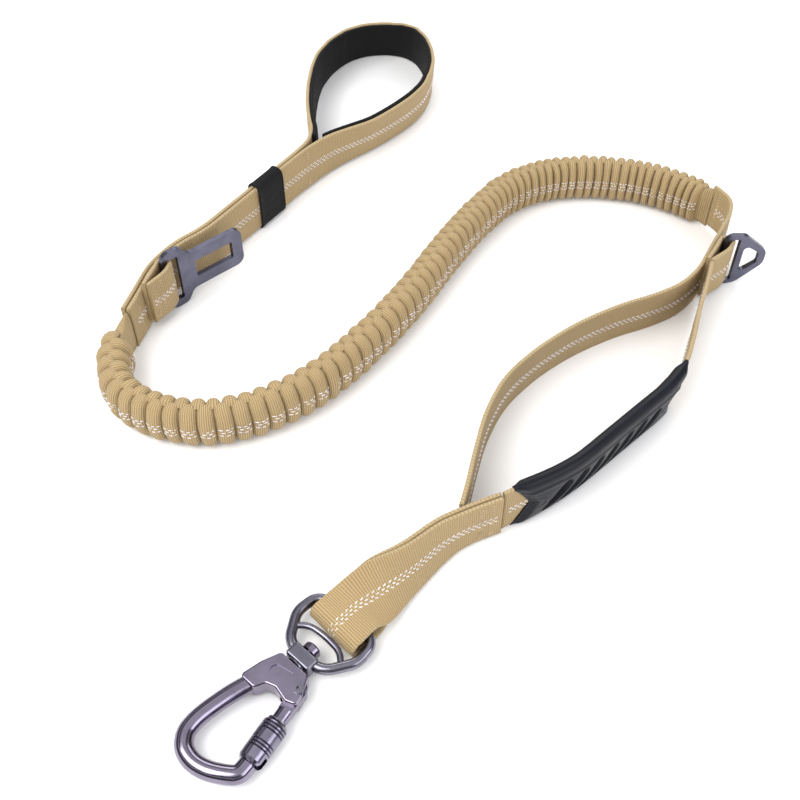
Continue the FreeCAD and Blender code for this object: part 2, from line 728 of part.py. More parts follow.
for z0 in (hh - 0.45, -hh - 0.3):
    body_shape = body_shape.cut(oval(10.6, 0.2, 2.5, 2.4, z0, 0.75, 12.0))
# nose tenon
body_shape = body_shape.fuse(Part.makeCylinder(size("nose_radius"), 4.6, on_gate(32.6), gd * -1.0)).removeSplitter()
plain("carabiner_body", body_shape, CLIP)

# ----------------------------------------------------------------- gate
gr = size("gate_radius")
flat_end = Part.makeCylinder(3.0, 2 * gt, HINGE + Vector(0, 0, -gt), Vector(0, 0, 1))
bar = Part.makeBox(9.0, 5.6, 2 * gt, Vector(0, -2.8, -gt))
bar.Placement = Placement(HINGE, Rotation(Vector(0, 0, 1), math.degrees(GA)))
rod = Part.makeCylinder(gr, 31.0 - 8.2, on_gate(8.2), gd)
gate = flat_end.fuse(bar).fuse(rod)
gate = gate.cut(Part.makeCylinder(pr + 0.05, 12, HINGE + Vector(0, 0, -6), Vector(0, 0, 1)))
gslot = Part.makeBox(5.0, 8.0, 3.5, Vector(26.9, -1.75, -1.75))
gslot.Placement = Placement(HINGE, Rotation(Vector(0, 0, 1), math.degrees(GA)))
gate = gate.cut(gslot)
groove = Part.makeCylinder(gr + 1, 0.7, on_gate(13.1), gd).cut(Part.makeCylinder(gr - 0.5, 0.7, on_gate(13.1), gd))
gate = gate.cut(groove).removeSplitter()
plain("gate", gate, CLIP)
pin = Part.makeCylinder(pr, 2 * hh, HINGE + Vector(0, 0, -hh), Vector(0, 0, 1))
for z0 in (hh, -hh - 0.5):
    pin = pin.fuse(Part.makeCylinder(2.1, 0.5, HINGE + Vector(0, 0, z0), Vector(0, 0, 1)))
pin = pin.cut(Part.makeCylinder(0.85, 1.2, HINGE + Vector(0, 0, hh - 0.5), Vector(0, 0, 1))).removeSplitter()
plain("gate_pin", pin, CLIP)
# retaining clip of the sleeve
clip = Part.makeCylinder(4.1, 0.6, on_gate(13.15), gd).cut(Part.makeCylinder(gr - 0.45, 0.6, on_gate(13.15), gd))
gap = Part.makeBox(1.2, 6.0, 4.2, Vector(12.8, 0, -2.1))
gap.Placement = Placement(HINGE, Rotation(Vector(0, 0, 1), math.degrees(GA)))
clip = clip.cut(gap)
plain("sleeve_clip", clip, CLIP)
# gate spring: an open coil that pushes the gate shut
spring_h = 5.0
helix = Part.makeHelix(1.0, spring_h - 0.7, 1.15)
wire = Part.Wire(Part.Circle(Vector(1.15, 0, 0), Vector(0, 1, 0), 0.27).toShape())
coil = Part.Wire(helix).makePipeShell([wire], True, True)
coil.Placement = Placement(Vector(SPX, 1.2, 0), Rotation(Vector(1, 0, 0), -90))
coil.Placement = CLIP.multiply(coil.Placement)
plain("gate_spring", coil)

# ---------------------------------------------------------- lock sleeve
s0, s1, R = size("sleeve_start"), size("sleeve_end"), size("sleeve_radius")
prof = [(gr + 0.05, s0), (R - 0.9, s0), (R - 0.2, s0 + 0.7)]
for g in (s0 + 1.6, s0 + 2.9, s0 + 4.2, s0 + 9.0, s0 + 10.3, s0 + 11.6):
    prof += [(R - 0.0, g - 0.35), (R - 0.55, g), (R - 0.0, g + 0.35)]
prof += [(R - 0.1, s1 - 1.0), (R - 0.8, s1), (gr + 0.05, s1)]
pts = [HINGE + gd * b + gn * a for a, b in prof]
face = Part.Face(Part.makePolygon(pts + [pts[0]]))
sleeve = face.revolve(HINGE, gd, 360)
sslot = Part.makeBox(5.2, 8.0, 3.7, Vector(26.8, 0, -1.85))
sslot.Placement = Placement(HINGE, Rotation(Vector(0, 0, 1), math.degrees(GA)))
sleeve = sleeve.cut(sslot)
plain("lock_sleeve", sleeve, CLIP)


# ----------------------------------------------- stitched reinforcements
def station(segs, s):
    """The point and the heading at a distance along a route."""
    part = trim(segs, s, s + 0.02)
    q = part[0]
    if q[0] == "run":
        d = q[2] - q[1]
    else:
        d = Vector(0, 0, 1).cross(q[1] - q[3]) * q[5]
    return q[1], d / d.Length


def bartack(label, spots):
    """Dense thread bars sewn on the straps' outer faces."""
    solids = []
    for p, d, side, z0, z1, long_ in spots:
        low = side if side > 0 else side - 0.5
        b = Part.makeBox(long_, 0.5, z1 - z0, Vector(-long_ / 2, low, 0))
        b.Placement = Placement(Vector(p.x, p.y, z0), Rotation(Vector(0, 0, 1), math.degrees(math.atan2(d.y, d.x))))
        solids.append(b)
    plain(label, solids[0] if len(solids) == 1 else Part.Compound(solids))


p1, d1 = station(handle_route, 9.0)
bartack("handle_bartack", [(p1, d1, T / 2 + 0.06, 4.0, 23.0, 2.6)])
p1, d1 = station(main_route, route_length(rounded([at(p) for p in MAIN[:6]])) - 6.0)
bartack("loop_bartack", [(p1, d1, -T / 2 - 0.06, 3.0, 23.0, 2.6)])
c1 = at((33.8, -73.5))
bartack("clip_bartack", [(Vector(c1[0], c1[1], 0), Vector(0.921, 0.390, 0), -2.26, 3.0, 23.0, 2.6)])

# --------------------------------------------------------------- checks
doc.recompute()
bad = []
for o in doc.Objects:
    if "Invalid" in o.State or "Error" in o.State:
        bad.append((o.Label, o.State))
for n in NODES:
    s = n.Shape
    if s.isNull() or not s.isValid() or s.Volume <= 0:
        bad.append((n.Label, "shape"))
if bad:
    raise SystemExit("not written, bad objects: %s" % bad)
os.makedirs("parts", exist_ok=True)
box = FreeCAD.BoundBox()
for n in NODES:
    n.Shape.exportStep("parts/%s.step" % n.Label)
    box.add(n.Shape.BoundBox)
    print("%-20s solids %d volume %.1f" % (n.Label, len(n.Shape.Solids), n.Shape.Volume),
          [round(v, 1) for v in (n.Shape.BoundBox.XMin, n.Shape.BoundBox.XMax, n.Shape.BoundBox.YMin,
                                 n.Shape.BoundBox.YMax, n.Shape.BoundBox.ZMin, n.Shape.BoundBox.ZMax)])
print("box", box)
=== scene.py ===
import bpy, math
from mathutils import Vector, Matrix, noise


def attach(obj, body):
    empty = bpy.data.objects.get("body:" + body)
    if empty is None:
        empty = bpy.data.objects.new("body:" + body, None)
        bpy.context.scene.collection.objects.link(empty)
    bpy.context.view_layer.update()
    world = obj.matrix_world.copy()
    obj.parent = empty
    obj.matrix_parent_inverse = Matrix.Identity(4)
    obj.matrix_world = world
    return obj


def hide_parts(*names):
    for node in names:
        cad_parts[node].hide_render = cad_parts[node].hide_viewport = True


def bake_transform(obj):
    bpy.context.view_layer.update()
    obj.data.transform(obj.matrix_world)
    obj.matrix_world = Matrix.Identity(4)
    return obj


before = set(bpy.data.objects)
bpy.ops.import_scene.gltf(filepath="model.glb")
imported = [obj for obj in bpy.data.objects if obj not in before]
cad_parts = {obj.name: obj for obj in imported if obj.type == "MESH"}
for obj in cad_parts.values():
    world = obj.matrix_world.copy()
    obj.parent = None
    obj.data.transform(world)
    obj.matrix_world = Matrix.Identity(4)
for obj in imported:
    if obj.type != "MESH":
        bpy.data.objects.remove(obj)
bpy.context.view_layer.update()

# ------------------------------------------------------------------ layout
# Route points are in millimetres in the layout plane; MM turns them into
# the row frame.
OX, OY = 20.7, 49.95
W, T = 25.0, 2.0


def at(p):
    return (p[0] - OX, p[1] - OY)


def rounded(points, step=1.1, share=0.45):
    """Straight runs joined by tangent arcs, sampled: [(x, y, tx, ty, s)]."""
    P = [Vector((p[0], p[1])) for p in points]
    n = len(P)
    cor = {}
    for i in range(1, n - 1):
        a, b, c = P[i - 1], P[i], P[i + 1]
        d1, d2 = b - a, c - b
        l1, l2 = d1.length, d2.length
        d1, d2 = d1 / l1, d2 / l2
        turn = math.atan2(d1.x * d2.y - d1.y * d2.x, d1.dot(d2))
        if abs(turn) < 1e-5:
            continue
        r = share * min(l1, l2) / math.tan(abs(turn) / 2)
        cut = r * math.tan(abs(turn) / 2)
        sgn = 1.0 if turn > 0 else -1.0
        start, end = b - d1 * cut, b + d2 * cut
        cen = start + Vector((-d1.y, d1.x)) * (sgn * r)
        cor[i] = (start, end, cen, r, sgn, abs(turn))
    out = []
    s = 0.0

    def add(p, t):
        nonlocal s
        if out:
            s += math.hypot(p.x - out[-1][0], p.y - out[-1][1])
            if s - out[-1][4] < 1e-6:
                return
        out.append((p.x, p.y, t.x, t.y, s))
    prev = P[0]
    for i in range(1, n):
        nxt = cor[i][0] if i in cor else P[i]
        d = nxt - prev
        ln = d.length
        if ln > 1e-9:
            t = d / ln
            k = max(1, int(ln / step))
            for j in range(k + 1):
                add(prev + d * (j / k), t)
        if i in cor:
            st, en, cen, r, sgn, turn = cor[i]
            k = max(2, int(r * turn / step), int(math.degrees(turn) / 6))
            v = st - cen
            for j in range(1, k + 1):
                a = sgn * turn * j / k
                ca, sa = math.cos(a), math.sin(a)
                q = Vector((v.x * ca - v.y * sa, v.x * sa + v.y * ca))
                tt = Vector((-q.y, q.x)) * (sgn / r)
                add(cen + q, tt.normalized())
            prev = en
        else:
            prev = nxt
    return out


class Route:
    def __init__(self, points):
        self.r = rounded([at(p) for p in points])
        self.length = self.r[-1][4]

    def at(self, s):
        """Point and heading at a distance along it."""
        r = self.r
        if s <= 0:
            return Vector((r[0][0] + r[0][2] * s, r[0][1] + r[0][3] * s)), Vector((r[0][2], r[0][3]))
        if s >= self.length:
            q = s - self.length
            return Vector((r[-1][0] + r[-1][2] * q, r[-1][1] + r[-1][3] * q)), Vector((r[-1][2], r[-1][3]))
        lo, hi = 0, len(r) - 1
        while hi - lo > 1:
            m = (lo + hi) // 2
            if r[m][4] <= s:
                lo = m
            else:
                hi = m
        a, b = r[lo], r[hi]
        f = (s - a[4]) / max(b[4] - a[4], 1e-9)
        p = Vector((a[0] + (b[0] - a[0]) * f, a[1] + (b[1] - a[1]) * f))
        t = Vector((a[2] + (b[2] - a[2]) * f, a[3] + (b[3] - a[3]) * f))
        return p, t.normalized()


def smooth(a, b, x):
    x = max(0.0, min(1.0, (x - a) / (b - a)))
    return x * x * (3 - 2 * x)


def side_of(p, d, s):
    return (p[0] - d[1] * s, p[1] + d[0] * s)


def unit(a, b):
    dx, dy = b[0] - a[0], b[1] - a[1]
    ln = math.hypot(dx, dy)
    return (dx / ln, dy / ln)


def shifted(points, s):
    out = []
    for i, p in enumerate(points):
        a = points[max(i - 1, 0)]
        b = points[min(i + 1, len(points) - 1)]
        out.append(side_of(p, unit(a, b), s))
    return out


# ------------------------------------------------------------------- nodes
class Graph:
    """Short calls for building a material."""

    def __init__(self, name):
        self.mat = bpy.data.materials.new(name)
        self.mat.use_nodes = True
        self.n = self.mat.node_tree.nodes
        self.l = self.mat.node_tree.links
        self.bsdf = self.n["Principled BSDF"]

    def new(self, kind, **values):
        node = self.n.new(kind)
        for k, v in values.items():
            setattr(node, k, v)
        return node

    def link(self, a, b):
        self.l.new(a, b)

    def math(self, op, a, b=None, c=None, clamp=False):
        node = self.new("ShaderNodeMath", operation=op, use_clamp=clamp)
        for i, v in enumerate((a, b, c)):
            if v is None:
                continue
            if isinstance(v, (int, float)):
                node.inputs[i].default_value = v
            else:
                self.link(v, node.inputs[i])
        return node.outputs[0]

    def mix(self, fac, a, b):
        node = self.new("ShaderNodeMix", data_type="RGBA")
        if isinstance(fac, (int, float)):
            node.inputs[0].default_value = fac
        else:
            self.link(fac, node.inputs[0])
        for i, v in ((6, a), (7, b)):
            if isinstance(v, tuple):
                node.inputs[i].default_value = (*v, 1.0)
            else:
                self.link(v, node.inputs[i])
        return node.outputs[2]

    def noise(self, vec, scale, detail=3.0, rough=0.55):
        node = self.new("ShaderNodeTexNoise")
        node.inputs["Scale"].default_value = scale
        node.inputs["Detail"].default_value = detail
        node.inputs["Roughness"].default_value = rough
        self.link(vec, node.inputs["Vector"])
        return node.outputs[0]

    def ramp(self, x, a, b, lo=0.0, hi=1.0):
        node = self.new("ShaderNodeMapRange", interpolation_type="SMOOTHSTEP")
        self.link(x, node.inputs[0])
        for i, v in ((1, a), (2, b), (3, lo), (4, hi)):
            node.inputs[i].default_value = v
        return node.outputs[0]

    def bump(self, height, dist, strength=1.0):
        node = self.new("ShaderNodeBump")
        node.inputs["Strength"].default_value = strength
        node.inputs["Distance"].default_value = dist
        self.link(height, node.inputs["Height"])
        self.link(node.outputs[0], self.bsdf.inputs["Normal"])

    def uv(self):
        node = self.new("ShaderNodeUVMap", uv_map="strap_mm")
        sep = self.new("ShaderNodeSeparateXYZ")
        self.link(node.outputs[0], sep.inputs[0])
        return node.outputs[0], sep.outputs[0], sep.outputs[1]

    def place(self):
        return self.new("ShaderNodeTexCoord").outputs["Object"]

    def set(self, **values):
        for k, v in values.items():
            self.bsdf.inputs[k.replace("_", " ")].default_value = v


def webbing_material(name, base, dark, pale, rib=1.0, edge=True):
    g = Graph(name)
    vec, u, v = g.uv()
    pos = g.place()
    # cross ribs of the weave, each broken up by the warp cords
    row = g.math("FLOOR", g.math("DIVIDE", v, rib))
    ribs = g.math("ABSOLUTE", g.math("SINE", g.math("MULTIPLY", v, math.pi / rib)))
    shift = g.math("MULTIPLY", g.math("MODULO", row, 2.0), 0.5)
    cord = g.math("ABSOLUTE", g.math("SINE", g.math(
        "MULTIPLY", g.math("ADD", g.math("DIVIDE", u, 0.86), shift), math.pi)))
    weave = g.math("MULTIPLY", g.math("POWER", ribs, 0.6), g.math("ADD", g.math("MULTIPLY", cord, 0.45), 0.55))
    fine = g.noise(vec, 3.4, 4.0, 0.7)
    blot = g.noise(pos, 24.0, 3.0)
    col = g.mix(g.ramp(weave, 0.12, 0.85), dark, base)
    col = g.mix(g.math("MULTIPLY", g.ramp(fine, 0.38, 0.75), 0.45), col, pale)
    col = g.mix(g.math("MULTIPLY", g.ramp(blot, 0.35, 0.7), 0.30), col,
                tuple(c * k for c, k in zip(base, (0.80, 0.82, 0.86))))
    height = weave
    if edge:
        au = g.math("ABSOLUTE", u)
        rim = g.ramp(au, 11.75, 12.05)
        twist = g.math("ABSOLUTE", g.math("SINE", g.math(
            "MULTIPLY", g.math("ADD", v, g.math("MULTIPLY", au, 1.1)), math.pi / 1.7)))
        col = g.mix(rim, col, g.mix(g.ramp(twist, 0.25, 0.8), tuple(0.55 * d + 0.45 * p for d, p in zip(dark, pale)), tuple(0.35 * d + 0.65 * p for d, p in zip(dark, pale))))
        height = g.math("ADD", g.math("MULTIPLY", weave, g.math("SUBTRACT", 1.0, rim)),
                        g.math("MULTIPLY", g.math("MULTIPLY", twist, 1.5), rim))
    height = g.math("ADD", height, g.math("MULTIPLY", fine, 0.35))
    g.link(col, g.bsdf.inputs["Base Color"])
    g.link(g.ramp(fine, 0.2, 0.8, 0.62, 0.86), g.bsdf.inputs["Roughness"])
    g.set(Sheen_Weight=0.06, Sheen_Roughness=0.5, Specular_IOR_Level=0.3)
    g.bump(height, 0.00024, 0.85)
    return g.mat


def cloth_material(name, base, other, period, dist, rough, along=True):
    g = Graph(name)
    vec, u, v = g.uv()
    rib = g.math("ABSOLUTE", g.math("SINE", g.math("MULTIPLY", v if along else u, math.pi / period)))
    knit = g.math("ABSOLUTE", g.math("SINE", g.math("MULTIPLY", u if along else v, math.pi / (period * 0.8))))
    fine = g.noise(vec, 2.2, 5.0, 0.7)
    height = g.math("ADD", g.math("MULTIPLY", rib, g.math("ADD", g.math("MULTIPLY", knit, 0.5), 0.5)), fine)
    g.link(g.mix(g.ramp(height, 0.4, 1.4), other, base), g.bsdf.inputs["Base Color"])
    g.link(g.ramp(fine, 0.2, 0.8, rough - 0.08, rough + 0.08), g.bsdf.inputs["Roughness"])
    g.set(Sheen_Weight=0.02, Sheen_Roughness=0.6, Specular_IOR_Level=0.18)
    g.bump(height, dist, 0.8)
    return g.mat


def thread_material(name, base, dark):
    g = Graph(name)
    pos = g.place()
    ply = g.noise(pos, 2600.0, 2.0)
    big = g.noise(pos, 160.0, 2.0)
    g.link(g.mix(g.math("MULTIPLY", g.ramp(big, 0.35, 0.65), 0.55), base, dark), g.bsdf.inputs["Base Color"])
    g.link(g.ramp(ply, 0.3, 0.7, 0.30, 0.55), g.bsdf.inputs["Roughness"])
    g.set(Sheen_Weight=0.1)
    g.bump(ply, 0.00008, 0.6)
    return g.mat


def rubber_material(name, base, pale):
    g = Graph(name)
    pos = g.place()
    grain = g.noise(pos, 1500.0, 3.0, 0.7)
    wear = g.noise(pos, 60.0, 4.0, 0.6)
    g.link(g.mix(g.math("MULTIPLY", g.ramp(wear, 0.4, 0.8), 0.6), base, pale), g.bsdf.inputs["Base Color"])
    g.link(g.ramp(wear, 0.3, 0.75, 0.34, 0.52), g.bsdf.inputs["Roughness"])
    g.set(Specular_IOR_Level=0.24)
    g.bump(grain, 0.00006, 0.5)
    return g.mat


def metal_material(name, base, other, rough, brush=0.0, dist=0.00002):
    g = Graph(name)
    pos = g.place()
    cloud = g.noise(pos, 90.0, 4.0, 0.6)
    tiny = g.noise(pos, 1900.0, 3.0, 0.7)
    g.link(g.mix(g.ramp(cloud, 0.3, 0.7), base, other), g.bsdf.inputs["Base Color"])
    g.link(g.math("ADD", g.ramp(cloud, 0.25, 0.75, rough - 0.05, rough + 0.06),
                  g.math("MULTIPLY", tiny, 0.05)), g.bsdf.inputs["Roughness"])
    g.set(Metallic=1.0)
    g.bump(g.math("ADD", tiny, g.math("MULTIPLY", cloud, 2.0)), dist, 0.5)
    return g.mat


TAN, TAN_D, TAN_P = (0.400, 0.285, 0.138), (0.150, 0.100, 0.043), (0.53, 0.41, 0.235)
M_WEB = webbing_material("webbing_tan", TAN, TAN_D, TAN_P)
M_PLEAT = webbing_material("webbing_gathered", TAN, (0.120, 0.080, 0.034), TAN_P, rib=1.05, edge=False)
M_THREAD = thread_material("stitch_silver", (0.80, 0.78, 0.82), (0.50, 0.46, 0.50))
M_SEW = thread_material("stitch_tan", (0.50, 0.38, 0.22), (0.30, 0.22, 0.12))
M_LINING = cloth_material("lining_black", (0.0065, 0.0065, 0.0075), (0.003, 0.003, 0.0035), 0.9, 0.00010, 0.86)
M_KEEPER = cloth_material("keeper_black", (0.006, 0.0065, 0.008), (0.0025, 0.0025, 0.003), 1.15, 0.00022, 0.80)
M_RUBBER = rubber_material("rubber_navy", (0.0035, 0.0042, 0.0080), (0.007, 0.009, 0.016))
M_BODY = metal_material("carabiner_gunmetal", (0.255, 0.228, 0.298), (0.195, 0.175, 0.232), 0.13)
M_SLEEVE = metal_material("sleeve_gunmetal", (0.25, 0.23, 0.30), (0.17, 0.16, 0.21), 0.22)
M_RING = metal_material("ring_gunmetal", (0.22, 0.215, 0.26), (0.15, 0.145, 0.18), 0.20)
M_STUD = metal_material("stud_dark", (0.27, 0.25, 0.30), (0.18, 0.17, 0.21), 0.24)
M_PLATE = metal_material("plate_violet", (0.125, 0.125, 0.170), (0.090, 0.090, 0.125), 0.32, dist=0.00003)


# ------------------------------------------------------------ mesh building
class Builder:
    def __init__(self):
        self.v, self.f, self.uv, self.m, self.sm = [], [], [], [], []

    def face(self, ids, uvs, mat=0, sm=True):
        self.f.append(ids)
        self.uv.append(uvs)
        self.m.append(mat)
        self.sm.append(sm)

    def band(self, frames, width=W, thick=T, mat=0, profile=None, closed=False, bulge=0.0):
        """A strap through frames [(centre, width dir, normal, s)]."""
        if profile is None:
            hw = width / 2
            us = [-hw, -hw + 0.22, -hw + 0.8, -hw * 0.72, -hw * 0.45, -hw * 0.15, hw * 0.15, hw * 0.45, hw * 0.72,
                  hw - 0.8, hw - 0.22, hw]
            hs = [0.25, 0.78, 1.0, 0.93, 0.96, 1.0, 1.0, 0.96, 0.93, 1.0, 0.78, 0.25]
            profile = [(u, h * thick / 2) for u, h in zip(us, hs)] + \
                      [(u, -h * thick / 2) for u, h in zip(us[::-1], hs[::-1])]
        k = len(profile)
        base = len(self.v)
        for c, w, n, s in frames:
            for u, h in profile:
                self.v.append(c + w * u + n * h)
        rows = len(frames)
        for i in range(rows - 1):
            for j in range(k):
                j2 = (j + 1) % k
                a, b = base + i * k + j, base + i * k + j2
                c_, d = base + (i + 1) * k + j2, base + (i + 1) * k + j
                u0, u1 = profile[j][0], profile[j2][0]
                s0, s1 = frames[i][3], frames[i + 1][3]
                self.face((a, b, c_, d), ((u0, s0), (u1, s0), (u1, s1), (u0, s1)), mat)
        for i, rev in ((0, False), (rows - 1, True)):
            # end caps as strips, so that a bent end stays flat-faced
            half = k // 2
            for j in range(half - 1):
                a, b = base + i * k + j, base + i * k + j + 1
                c_, d = base + i * k + (k - 2 - j), base + i * k + (k - 1 - j)
                ids = (a, d, c_, b) if not rev else (a, b, c_, d)
                pr = {a: profile[j], b: profile[j + 1], c_: profile[k - 2 - j], d: profile[k - 1 - j]}
                self.face(ids, tuple((pr[q][0], frames[i][3] + pr[q][1]) for q in ids), mat, False)

    def stitch(self, a, b, n, half=0.30, high=0.26, mat=1):
        d = (b - a)
        ln = d.length
        if ln < 1e-6:
            return
        d = d / ln
        side = d.cross(n).normalized()
        n = side.cross(d).normalized()
        base = len(self.v)
        pts = [a - n * 0.12]
        for f, k in ((0.22, 0.85), (0.5, 1.0), (0.78, 0.85)):
            c = a + (b - a) * f
            pts += [c + side * half * k, c + n * high * k, c - side * half * k, c - n * 0.15]
        pts.append(b - n * 0.12)
        self.v += pts
        z = (0.0, 0.0)
        for q in range(4):
            q2 = (q + 1) % 4
            self.face((base, base + 1 + q, base + 1 + q2), (z, z, z), mat)
            for r in range(2):
                o = base + 1 + r * 4
                self.face((o + q, o + 4 + q, o + 4 + q2, o + q2), (z, z, z, z), mat)
            self.face((base + 9 + q, base + 13, base + 9 + q2), (z, z, z), mat)

    def make(self, name, mats, body, replaces=()):
        me = bpy.data.meshes.new(name)
        me.from_pydata([tuple(p * 0.001) for p in self.v], [], self.f)
        layer = me.uv_layers.new(name="strap_mm")
        i = 0
        for uvs in self.uv:
            for q in uvs:
                layer.data[i].uv = q
                i += 1
        for mt in mats:
            me.materials.append(mt)
        me.polygons.foreach_set("material_index", self.m)
        me.polygons.foreach_set("use_smooth", self.sm)
        me.update()
        me.validate()
        ob = bpy.data.objects.new(name, me)
        bpy.context.scene.collection.objects.link(ob)
        if body:
            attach(ob, body)
        if replaces:
            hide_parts(*replaces)
        return ob


def frames_along(route, s0, s1, low, lean=None, off=0.0, step=1.2, width=W, sway=0.12, seed=0.0, uv0=0.0):
    """Frames of a strap on edge: its lower edge follows the route."""
    out = []
    k = max(2, int((s1 - s0) / step))
    for i in range(k + 1):
        s = s0 + (s1 - s0) * i / k
        p, t = route.at(s)
        t3 = Vector((t.x, t.y, 0))
        lv = lean(s, p) if lean else Vector((0, 0, 0))
        w = Vector((lv.x, lv.y, 1.0))
        w = (w - t3 * w.dot(t3)).normalized()
        n = w.cross(t3).normalized()
        z = low(s) if callable(low) else low
        wob = noise.noise(Vector((s * 0.045, seed, 0.0))) * sway
        c = Vector((p.x, p.y, z)) + w * (width / 2) + n * (off + wob)
        out.append((c, w, n, s + uv0))
    return out


def stripe(b, frames, half=T / 2, sides=(1, -1), u0=-0.6, pitch=2.5, long_=1.75, mat=1, rows=(-1.35, 0.0, 1.35),
           start=0.0, end=0.0, slant=0.35):
    """Three staggered rows of reflective stitches on a strap's faces."""
    S = [f[3] for f in frames]

    def frame_at(s):
        lo, hi = 0, len(S) - 1
        while hi - lo > 1:
            m = (lo + hi) // 2
            if S[m] <= s:
                lo = m
            else:
                hi = m
        f = (s - S[lo]) / max(S[hi] - S[lo], 1e-9)
        a, c = frames[lo], frames[hi]
        return a[0].lerp(c[0], f), a[1].lerp(c[1], f).normalized(), a[2].lerp(c[2], f).normalized()
    for side in sides:
        for r, du in enumerate(rows):
            s = S[0] + start + (pitch / 2 if r % 2 else 0.0)
            while s + long_ < S[-1] - end:
                c1, w1, n1 = frame_at(s)
                c2, w2, n2 = frame_at(s + long_)
                tilt = slant * (1 if r == 0 else (-1 if r == 2 else 0))
                k = (noise.noise(Vector((s * 1.7, r * 3.1, side))) * 0.16)
                a = c1 + w1 * (u0 + du - tilt + k) + n1 * (side * half)
                q = c2 + w2 * (u0 + du + tilt + k) + n2 * (side * half)
                b.stitch(a, q, (n1 + n2) * side, mat=mat)
                s += pitch


def zigzag(b, frames, s0, s1, u0, u1, half, side, mat=2, pitch=0.9):
    """A dense zigzag bar across a strap."""
    S = [f[3] for f in frames]

    def fa(s):
        i = min(range(len(S)), key=lambda q: abs(S[q] - s))
        return frames[i]
    k = int((u1 - u0) / pitch)
    for i in range(k):
        ua, ub = u0 + (u1 - u0) * i / k, u0 + (u1 - u0) * (i + 1) / k
        sa, sb = (s0, s1) if i % 2 == 0 else (s1, s0)
        fa_, fb_ = fa(sa), fa(sb)
        ta = (frames[-1][0] - frames[0][0]).normalized()
        a = fa_[0] + fa_[1] * ua + fa_[2] * (side * half)
        q = fb_[0] + fb_[1] * ub + fb_[2] * (side * half)
        b.stitch(a, q, (fa_[2] + fb_[2]) * side, half=0.24, high=0.22, mat=mat)


# --------------------------------------------------------------- the handle
UP = (0.5795, 0.8150)
LOOP = [(-48.5, 157.5), (-47.3, 169), (-49.3, 182), (-51.0, 197), (-51.6, 213),
        (-50.8, 229), (-48.6, 243), (-43, 257.5), (-33.5, 270), (-21.5, 277.3),
        (-8, 279), (3, 276.3), (11, 269.3), (16, 258), (18, 246), (17.8, 235),
        (15.5, 224), (11.5, 213), (4.8, 203), (-4.2, 193), (-15, 183),
        (-27, 173.5), (-38, 163.8)]
SEAM = [(-125.4, 32.6), (-121.6, 46.2), (-117.8, 62.0), (-108.0, 77.0), (-95.8, 87.5)]
NECK = (-53, 147.5)
LEG = SEAM + [NECK]
half_gap = T / 2 + 0.25
leg_far, leg_near = shifted(LEG, half_gap), shifted(LEG, -half_gap)
handle = Route(leg_far + LOOP + leg_near[::-1])
s_leg = Route(leg_far).length
s_far_neck = s_leg
s_in = Route(leg_far + LOOP[:1]).length + 4.0
s_out = handle.length - Route(leg_near + [LOOP[-1]]).length + 3.0


def handle_lean(s, p):
    k = smooth(s_leg + 2, s_leg + 50, s) * (1 - smooth(handle.length - s_leg - 50, handle.length - s_leg - 2, s))
    return Vector((0.02 * k, -0.30 * k, 0))


fr = frames_along(handle, 0, handle.length, 1.1, handle_lean, sway=0.16, seed=1.3)
b = Builder()
b.band(fr)
stripe(b, fr, u0=-0.4, start=3, end=3, sides=(1, -1))
for q0 in (7.5, 13.5):
    zigzag(b, fr, q0, q0 + 2.4, -10.8, 10.8, T / 2, 1)
zigzag(b, fr, handle.length - 10.0, handle.length - 7.6, -10.8, 10.8, T / 2, 1)
for q0 in (s_leg + 2.0,):
    zigzag(b, fr, handle.length - q0 - 2.4, handle.length - q0, -10.8, 10.8, T / 2, 1)
b.make("handle_strap", [M_WEB, M_THREAD, M_SEW], "handle", ("wrist_webbing", "handle_bartack"))

lin = frames_along(handle, s_in, s_out, 1.1, handle_lean, off=-(T / 2 + 1.15), sway=0.16, seed=1.3)
b = Builder()
hw = 12.7
prof = [(-hw, 0.5), (-hw + 0.5, 1.0), (-hw + 1.6, 1.12), (-6, 1.05), (0, 1.05), (6, 1.05), (hw - 1.6, 1.12),
        (hw - 0.5, 1.0), (hw, 0.5), (hw, -0.5), (hw - 0.5, -1.0), (hw - 1.6, -1.15), (6, -1.35), (0, -1.4), (-6, -1.35),
        (-hw + 1.6, -1.15), (-hw + 0.5, -1.0), (-hw, -0.5)]
b.band(lin, profile=prof)
b.make("loop_lining", [M_LINING], "handle", ("wrist_lining",))

# keeper: a knitted elastic band round both strands, slightly waisted
kc = at((-68.7, 125.6))
b = Builder()
kd, kn = Vector((UP[0], UP[1], 0)), Vector((-UP[1], UP[0], 0))
rings, ns = 15, 44
base = 0
outer_rows = []
for layer in (0, 1):
    for i in range(rings):
        x = -9.0 + 18.0 * i / (rings - 1)
        lip = 0.35 * (smooth(6.8, 8.2, abs(x)))
        hw_, hh_ = (3.85 + lip, 13.7 + lip * 0.3) if layer == 0 else (2.75, 12.72)
        hw_ += 0.12 * noise.noise(Vector((x * 0.4, layer * 5.0, 1.0)))
        for j in range(ns):
            a = 2 * math.pi * j / ns
            ca, sa = math.cos(a), math.sin(a)
            e = 0.28 if layer == 0 else 0.22
            px_ = hw_ * math.copysign(abs(ca) ** (e * 2.4), ca)
            pz_ = hh_ * math.copysign(abs(sa) ** e, sa)
            b.v.append(Vector((kc[0], kc[1], 13.75)) + kd * x + kn * px_ + Vector((0, 0, pz_)))
for layer in (0, 1):
    for i in range(rings - 1):
        for j in range(ns):
            j2 = (j + 1) % ns
            o = layer * rings * ns
            ids = (o + i * ns + j, o + (i + 1) * ns + j, o + (i + 1) * ns + j2, o + i * ns + j2)
            if layer == 0:
                ids = ids[::-1]
            uu = [((q - o) % ns * 1.5, ((q - o) // ns) * 1.29) for q in ids]
            b.face(ids, tuple(uu))
